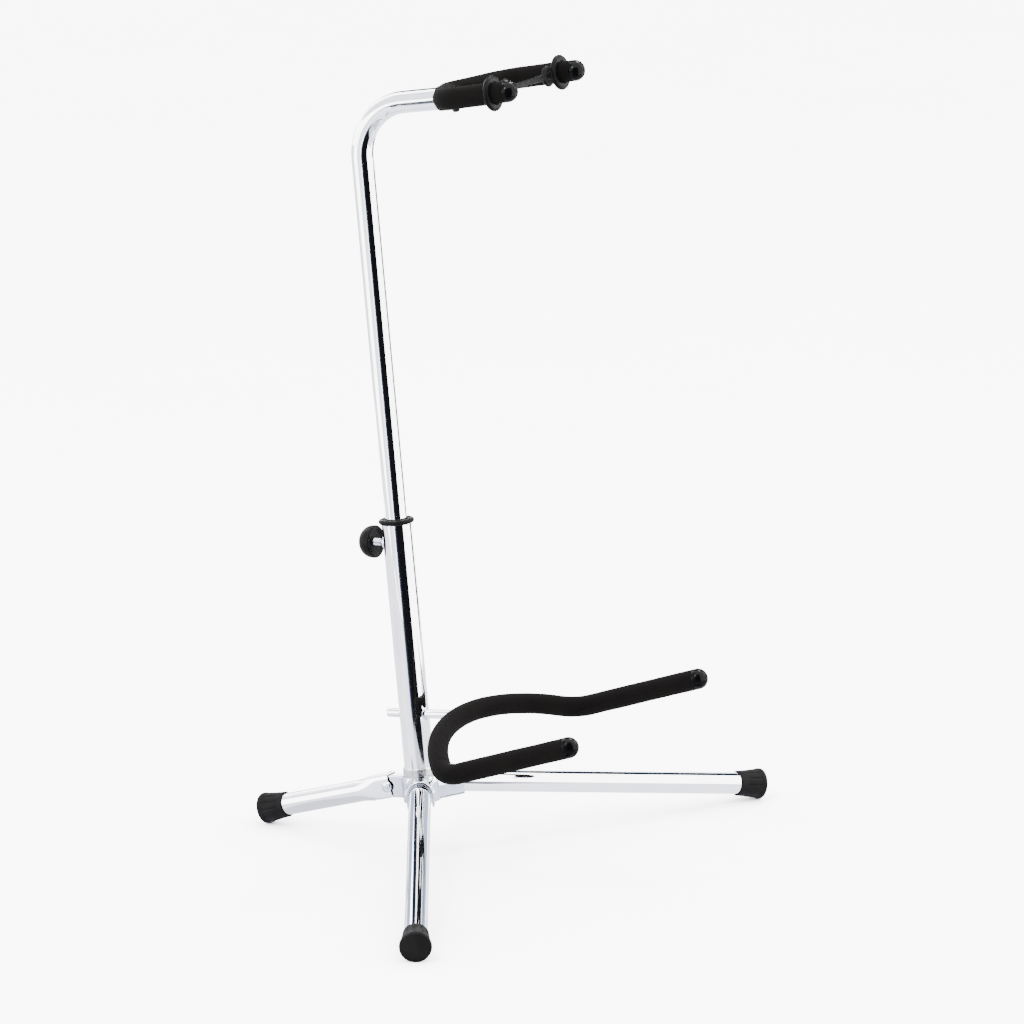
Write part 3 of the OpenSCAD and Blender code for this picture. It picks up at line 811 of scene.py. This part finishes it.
def strap_eyelet(place):
    """A thinner ring with a small hole."""
    r, t, chamfer = EYELET_R - 0.05, DISC_T - 1, 0.6
    section = [(EYELET_HOLE_R, 0.8), (EYELET_HOLE_R + chamfer, 0.2)]
    section += arc(r - t / 2, t / 2, t / 2, -90, 90, 12)
    section += [(EYELET_HOLE_R + chamfer, t - 0.2), (EYELET_HOLE_R, t - 0.8)]
    return lathe("eyelet", section, place, 72, closed=True)


def strap_band(place):
    """The thin band between the eyelets, narrowest at its middle, with rounded edges."""
    reach, half_wide, half_thick = YOKE_HALF - EYELET_IN - 5, 3.25, 1.25
    verts, stations, sides = [], 40, 24
    for i in range(stations + 1):
        x = -reach + 2 * reach * i / stations
        half = half_wide * (0.72 + 0.28 * abs(x / reach) ** 2.5)
        for k in range(sides):
            a = 2 * math.pi * k / sides
            y = math.copysign(abs(math.cos(a)) ** 0.5, math.cos(a)) * half
            z = 2 * half_thick + math.copysign(abs(math.sin(a)) ** 0.5, math.sin(a)) * half_thick
            verts.append(place @ Vector((x, y, z)))
    rows = stations + 1
    return make("band", verts, grid_faces(rows, sides) + end_faces(rows, sides))


def strap():
    """The moulded strap: a round disc on each arm, an eyelet inboard of it and a thin band between."""
    place = YOKE @ move(0, strap_y + DISC_T / 2, 0) @ turn("X", 90)
    parts = []
    for sign in (-1, 1):
        parts.append(strap_disc(place @ move(sign * YOKE_HALF, 0, 0)))
        parts.append(strap_eyelet(place @ move(sign * (YOKE_HALF - EYELET_IN), 0, 0.5)))
        web = sorted((sign * (YOKE_HALF - 10.5), sign * (YOKE_HALF - EYELET_IN + 5)))
        parts.append(block("web", (web[0], -4.2, 1.3), (web[1], 4.2, 3.5), place))
    parts.append(strap_band(place))
    one = fused(joined("neck_band", *parts), 0.33, 4)
    dressed(one, STRAP_RUBBER, "strap", "strap_rubber", "neck_strap")


# ---------- cradle ----------

def pin():
    """The pin through the post that carries the cradle, with chamfered ends."""
    length, edge = BOW_REACH + PIN_BACK - ROD_R, 0.6
    section = [(0, 0), (PIN_R - edge, 0), (PIN_R, edge)]
    section += [(PIN_R, length - edge), (PIN_R - edge, length), (0, length)]
    rod = lathe("cradle_rod", section, POST @ move(0, PIN_BACK, PIN_H) @ turn("X", 90), 64)
    dressed(rod, CHROME, "cradle", "chrome_tube", "cradle_pin")


def pin_lip(name, sign):
    """The lip of the pin's hole, rolled round the pin and following the post's surface."""
    verts, sides, rings = [], 72, 16
    centre_r, wide, high = PIN_R + 0.95, 0.85, 0.7
    for k in range(sides):
        a = 2 * math.pi * k / sides
        for j in range(rings):
            b = 2 * math.pi * j / rings
            r = centre_r + wide * math.cos(b)
            x, z = r * math.cos(a), r * math.sin(a)
            depth = math.sqrt(POST_R ** 2 - x ** 2) + high * math.sin(b)
            verts.append(POST @ Vector((x, sign * depth, PIN_H + z)))
    lip = make(name, verts, grid_faces(sides, rings, closed_rows=True))
    dressed(lip, PRESSED_PAINTED_REFLECTION, "base", "chrome_tube")


def cradle_line(length):
    """The cradle's path from the bow's middle round one corner and up one arm."""
    dip, rise = math.radians(BOW_DIP), math.radians(CRADLE_RISE)
    forward = Vector((0, -math.cos(dip), -math.sin(dip)))
    arm = Vector((0, -math.cos(rise), math.sin(rise)))
    line = Path((0, 0, 0), X, 0.9)
    line.bend(BOW_RADIUS, BOW_HALF, forward)
    line.bend(CORNER_BEND, math.degrees(line.heading.angle(arm)), arm)
    return line.run(length)


def cradle_sleeve():
    """The foam on the cradle, from one cap round the bow to the other."""
    edge, line = 1.0, both_sides(cradle_line(CRADLE_SLEEVE).points)
    shape = foam(CRADLE_FOAM_R, edge, 0.16, 0.9)
    sleeve("cradle_sleeve", line, CRADLE, shape, edge, "cradle", "cradle_foam")


def cradle_cap(side, sign):
    """The cap on one end of the cradle's foam."""
    line = cradle_line(CRADLE_SLEEVE)
    end, heading = line.points[-1].copy(), line.heading.copy()
    end.x *= sign
    place = CRADLE @ axes(end, X, heading.cross(X).normalized(), heading)
    cap(f"cradle_tip_{side}", place, CRADLE_FOAM_R, "cradle", f"cradle_cap_{side}")


# ---------- camera and studio ----------

CAMERA_AZIMUTH, CAMERA_ELEVATION, CAMERA_DISTANCE = -59.15, 13.35, 6.0
CAMERA_LENS = 246.3
AIM = Vector((0.0973, -0.0049, 0.2799))


def toward(azimuth, elevation):
    a, e = math.radians(azimuth), math.radians(elevation)
    return Vector((math.sin(a) * math.cos(e), -math.cos(a) * math.cos(e), math.sin(e)))


def camera():
    """The photo's view, from the left front and a little above."""
    data = bpy.data.cameras.new("camera")
    data.lens, data.sensor_width, data.clip_end = CAMERA_LENS, 36, 60
    cam = bpy.data.objects.new("camera", data)
    back = toward(CAMERA_AZIMUTH, CAMERA_ELEVATION)
    cam.location = AIM + back * CAMERA_DISTANCE
    cam.rotation_mode = "QUATERNION"
    cam.rotation_quaternion = (-back).to_track_quat("-Z", "Y")
    bpy.context.scene.collection.objects.link(cam)
    bpy.context.scene.camera = cam


def floor():
    """A pale seamless floor."""
    size = 30
    corners = [(-size, -size, 0), (size, -size, 0), (size, size, 0), (-size, size, 0)]
    mesh = bpy.data.meshes.new("floor")
    mesh.from_pydata(corners, [], [(0, 1, 2, 3)])
    obj = bpy.data.objects.new("floor", mesh)
    bpy.context.scene.collection.objects.link(obj)
    mat, shader, add, link = new_material("pale_floor")
    shader.inputs["Specular IOR Level"].default_value = 0.0
    shader.inputs["Roughness"].default_value = 0.9
    link(two_tone(add, link, object_noise(add, link, 3, 3), (0.90, 0.90, 0.90), (0.92, 0.92, 0.92)),
         shader.inputs["Base Color"])
    mesh.materials.append(mat)


def panel(name, corners, shade):
    """A studio panel that only reflections see."""
    mesh = bpy.data.meshes.new(name)
    mesh.from_pydata(corners, [], [tuple(range(len(corners)))])
    obj = bpy.data.objects.new(name, mesh)
    bpy.context.scene.collection.objects.link(obj)
    mat, shader, add, link = new_material(name)
    shader.inputs["Base Color"].default_value = (0, 0, 0, 1)
    shader.inputs["Specular IOR Level"].default_value = 0
    shader.inputs["Roughness"].default_value = 1
    shader.inputs["Emission Strength"].default_value = 1
    dim = tuple(c * 0.75 for c in shade)
    link(two_tone(add, link, object_noise(add, link, 2.5, 2), dim, shade), shader.inputs["Emission Color"])
    mesh.materials.append(mat)
    obj.visible_camera = obj.visible_diffuse = obj.visible_shadow = obj.visible_transmission = False


def flag(name, start, end, low, high, distance, shade):
    """An upright panel between two azimuths, counted from the camera's to the image's right, and
    between two heights in metres."""
    across = math.radians(end - start) / 2
    out = toward(CAMERA_AZIMUTH + (start + end) / 2, 0)
    side = out.cross(Z).normalized() * distance * math.tan(across)
    foot, top = out * distance + Z * low, out * distance + Z * high
    panel(name, [foot - side, foot + side, top + side, top - side], shade)


def mat_on_floor(name, start, end, near, far, lift, shade):
    """A panel lying just over the floor, between two azimuths and two distances from the post."""
    edge = [(start, near), (end, near), (end, far), (start, far)]
    panel(name, [toward(CAMERA_AZIMUTH + a, 0) * d + Z * lift for a, d in edge], shade)


def lamp(name, azimuth, elevation, distance, size, power):
    """A square soft lamp aimed at the stand. Azimuth is counted from the camera's."""
    data = bpy.data.lights.new(name, "AREA")
    data.shape, data.size, data.energy = "SQUARE", size, power
    obj = bpy.data.objects.new(name, data)
    out = toward(CAMERA_AZIMUTH + azimuth, elevation)
    obj.location = Z * 0.3 + out * distance
    obj.rotation_mode = "QUATERNION"
    obj.rotation_quaternion = (-out).to_track_quat("-Z", "Y")
    bpy.context.scene.collection.objects.link(obj)


def studio():
    """White surroundings, two soft lamps, and the panels that the chrome mirrors."""
    world = bpy.data.worlds.new("studio")
    bpy.context.scene.world = world
    world.use_nodes = True
    sky = world.node_tree.nodes["Background"]
    sky.inputs["Color"].default_value = (1, 1, 1, 1)
    sky.inputs["Strength"].default_value = 9.5
    floor()
    lamp("key", -35, 48, 2.6, 0.5, 70)
    lamp("back", 150, 55, 2.6, 0.5, 50)
    black, blue, slate = (0.012, 0.012, 0.016), (0.03, 0.045, 0.085), (0.22, 0.25, 0.32)
    steel, grey, pale = (1.0, 1.15, 1.5), (1.9, 2.0, 2.2), (3.3, 3.3, 3.7)
    # name, azimuths from and to, heights from and to, distance, shade
    # in front: the dark band down the mast and the post
    flag("front", -8, 48, 0, 1.2, 0.60, black)
    flag("front_soft", -16, -8, 0, 1.2, 0.61, blue)
    flag("front_edge", -23, -16, 0, 1.2, 0.62, slate)
    # to the sides: the greys at the mast's left, and the line at its right edge
    flag("left_line", 301, 305, 0, 0.5, 1.0, slate)
    flag("left_grey", 306, 336, 0, 0.6, 1.1, pale)
    flag("left_high", 236, 300, 0.9, 4, 1.6, pale)
    flag("left_edge", 216, 262, 0, 0.5, 1.1, pale)
    flag("right_edge", 120, 149, 0, 0.5, 1.1, black)
    # behind: the stripes on the near leg, and the lines along the tops of the others
    flag("back_left", 180.7, 203, 0.62, 3.0, 1.45, blue)
    flag("back_right", 166, 179.3, 0.62, 3.0, 1.45, black)
    flag("back_far", 130, 165, 0.76, 1.75, 1.45, blue)
    flag("back_pale_left", 194, 218, 0.02, 0.61, 1.5, steel)
    flag("back_pale_right", 150, 165, 0.02, 0.75, 1.5, steel)
    flag("rear_line", 222, 231, 0.9, 1.15, 1.5, grey)
    # name, azimuths from and to, distances from and to, lift, shade
    # underfoot: softer light from below, and the hub's stripes
    for start in (0, 90, 180, 270):
        mat_on_floor(f"glow_{start}", start, start + 90, 0.002, 1.5, 0.0010, pale)
    mat_on_floor("post_grey", -20, 48, 0.36, 1.3, 0.0014, grey)
    mat_on_floor("hub_blue", -16, -4, 0.12, 0.34, 0.0016, blue)
    mat_on_floor("hub_black", 12, 30, 0.12, 0.34, 0.0016, black)
    mat_on_floor("hub_slate", 58, 80, 0.12, 0.34, 0.0016, slate)
    mat_on_floor("hub_left", -62, -46, 0.10, 0.34, 0.0016, steel)
    mat_on_floor("rear_under", 228, 262, 0.04, 0.18, 0.0016, grey)


# ---------- build ----------

camera()
studio()

post()
collar()
hub()
ring()
boss()
rivet("left", CHANNEL_R)
rivet("right", CHANNEL_R)
rivet("rear", TONGUE_HALF + 2.1)
for leg_side in ("left", "right"):
    end = foot_end(leg_side)
    front_leg(leg_side, end - FOOT_FLOOR)
    foot(leg_side, end)
rear_end = foot_end("rear")
rear_leg(rear_end - FOOT_FLOOR)
foot("rear", rear_end)
leg_pit()

clamp_thread()
knob()

mast()
yoke_sleeve()
for tip_side, tip_sign in (("left", 1), ("right", -1)):
    tip_sleeve(tip_side, tip_sign)
    at = YOKE @ move(tip_sign * YOKE_HALF, tip_y, 0) @ turn("X", -90)
    cap(f"yoke_tip_{tip_side}", at, TIP_FOAM_R, "mast", f"yoke_cap_{tip_side}")
socket()
nub()
strap()

pin()
pin_lip("pin_lip_front", -1)
pin_lip("pin_lip_back", 1)
cradle_sleeve()
cradle_cap("left", -1)
cradle_cap("right", 1)

# the hidden CAD solids that no piece stands for
INSIDE = {"guide_bush": NYLON, "slide_bush": NYLON, "clamp_pad": NYLON, "post_plug": BLACK,
          "neck_yoke": CHROME, "cradle_bow": CHROME}
for node, material in INSIDE.items():
    mesh = frame["nodes"][node].data
    mesh.materials.clear()
    mesh.materials.append(material)
